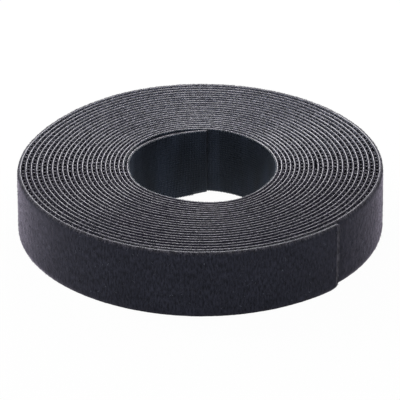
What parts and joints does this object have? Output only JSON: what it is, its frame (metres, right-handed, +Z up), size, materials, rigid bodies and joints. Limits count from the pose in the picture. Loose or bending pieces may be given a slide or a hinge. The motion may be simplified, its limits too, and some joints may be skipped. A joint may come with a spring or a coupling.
{
  "type": "hook and loop tape roll",
  "caption": "Coreless flat roll of back-to-back hook-and-loop tape, hooks facing the open bore, with a peelable outer tail and a springy inner end.",
  "frame": {"origin": "on the bore's axis, on the plane that the roll lies on", "axes": "+Z up along the bore, +X to the right and +Y to the back of the picture's view"},
  "size_m": [0.1027, 0.1038, 0.02],
  "materials": {
    "hook_film": "satin black moulded plastic",
    "loop_fabric": "napped velvet, dark charcoal"
  },
  "bodies": {
    "roll": {"wound_hook_film": "hook_film", "wound_loop_fabric": "loop_fabric"},
    "tail_1": {"tail_1_hook_film": "hook_film", "tail_1_loop_fabric": "loop_fabric"},
    "tail_2": {"tail_2_hook_film": "hook_film", "tail_2_loop_fabric": "loop_fabric"},
    "tail_3": {"tail_3_hook_film": "hook_film", "tail_3_loop_fabric": "loop_fabric"},
    "tail_4": {"tail_4_hook_film": "hook_film", "tail_4_loop_fabric": "loop_fabric"},
    "tail_5": {"tail_5_hook_film": "hook_film", "tail_5_loop_fabric": "loop_fabric"},
    "tail_6": {"tail_6_hook_film": "hook_film", "tail_6_loop_fabric": "loop_fabric"},
    "tail_7": {"tail_7_hook_film": "hook_film", "tail_7_loop_fabric": "loop_fabric"},
    "tail_8": {"tail_8_hook_film": "hook_film", "tail_8_loop_fabric": "loop_fabric"},
    "inner_end_1": {"inner_end_1_hook_film": "hook_film", "inner_end_1_loop_fabric": "loop_fabric"},
    "inner_end_2": {"inner_end_2_hook_film": "hook_film", "inner_end_2_loop_fabric": "loop_fabric"},
    "inner_end_3": {"inner_end_3_hook_film": "hook_film", "inner_end_3_loop_fabric": "loop_fabric"},
    "inner_end_4": {"inner_end_4_hook_film": "hook_film", "inner_end_4_loop_fabric": "loop_fabric"},
    "inner_end_5": {"inner_end_5_hook_film": "hook_film", "inner_end_5_loop_fabric": "loop_fabric"}
  },
  "joints": [
    {"name": "tail_peel", "type": "hinge", "parent": "roll", "child": "tail_1", "pos_m": [-0.02156, -0.04688, 0.01], "axis": [0, 0, -1], "range_deg": [0, 25]},
    {"name": "tail_bend_2", "type": "hinge", "parent": "tail_1", "child": "tail_2", "pos_m": [-0.01406, -0.0496, 0.01], "axis": [0, 0, -1], "range_deg": [0, 25]},
    {"name": "tail_bend_3", "type": "hinge", "parent": "tail_2", "child": "tail_3", "pos_m": [-0.00631, -0.05118, 0.01], "axis": [0, 0, -1], "range_deg": [0, 25]},
    {"name": "tail_bend_4", "type": "hinge", "parent": "tail_3", "child": "tail_4", "pos_m": [0.00166, -0.0518, 0.01], "axis": [0, 0, -1], "range_deg": [0, 25]},
    {"name": "tail_bend_5", "type": "hinge", "parent": "tail_4", "child": "tail_5", "pos_m": [0.00955, -0.05074, 0.01], "axis": [0, 0, -1], "range_deg": [0, 25]},
    {"name": "tail_bend_6", "type": "hinge", "parent": "tail_5", "child": "tail_6", "pos_m": [0.01741, -0.04919, 0.01], "axis": [0, 0, -1], "range_deg": [0, 25]},
    {"name": "tail_bend_7", "type": "hinge", "parent": "tail_6", "child": "tail_7", "pos_m": [0.02459, -0.04559, 0.01], "axis": [0, 0, -1], "range_deg": [0, 25]},
    {"name": "tail_bend_8", "type": "hinge", "parent": "tail_7", "child": "tail_8", "pos_m": [0.0315, -0.04157, 0.01], "axis": [0, 0, -1], "range_deg": [0, 25]},
    {"name": "inner_end_flex", "type": "hinge", "parent": "roll", "child": "inner_end_1", "pos_m": [-0.02075, 0.00325, 0.01], "axis": [0, 0, -1], "range_deg": [0, 15]},
    {"name": "inner_end_bend_2", "type": "hinge", "parent": "inner_end_1", "child": "inner_end_2", "pos_m": [-0.01879, 0.00911, 0.01], "axis": [0, 0, -1], "range_deg": [0, 15]},
    {"name": "inner_end_bend_3", "type": "hinge", "parent": "inner_end_2", "child": "inner_end_3", "pos_m": [-0.01497, 0.01389, 0.01], "axis": [0, 0, -1], "range_deg": [0, 15]},
    {"name": "inner_end_bend_4", "type": "hinge", "parent": "inner_end_3", "child": "inner_end_4", "pos_m": [-0.01006, 0.01738, 0.01], "axis": [0, 0, -1], "range_deg": [0, 15]},
    {"name": "inner_end_bend_5", "type": "hinge", "parent": "inner_end_4", "child": "inner_end_5", "pos_m": [-0.00459, 0.01991, 0.01], "axis": [0, 0, -1], "range_deg": [0, 15]}
  ],
  "couplings": [
    {"joint": "tail_bend_2", "follows": "tail_peel", "ratio": 1},
    {"joint": "tail_bend_3", "follows": "tail_peel", "ratio": 1},
    {"joint": "tail_bend_4", "follows": "tail_peel", "ratio": 1},
    {"joint": "tail_bend_5", "follows": "tail_peel", "ratio": 1},
    {"joint": "tail_bend_6", "follows": "tail_peel", "ratio": 1},
    {"joint": "tail_bend_7", "follows": "tail_peel", "ratio": 1},
    {"joint": "tail_bend_8", "follows": "tail_peel", "ratio": 1},
    {"joint": "inner_end_bend_2", "follows": "inner_end_flex", "ratio": 1},
    {"joint": "inner_end_bend_3", "follows": "inner_end_flex", "ratio": 1},
    {"joint": "inner_end_bend_4", "follows": "inner_end_flex", "ratio": 1},
    {"joint": "inner_end_bend_5", "follows": "inner_end_flex", "ratio": 1}
  ]
}
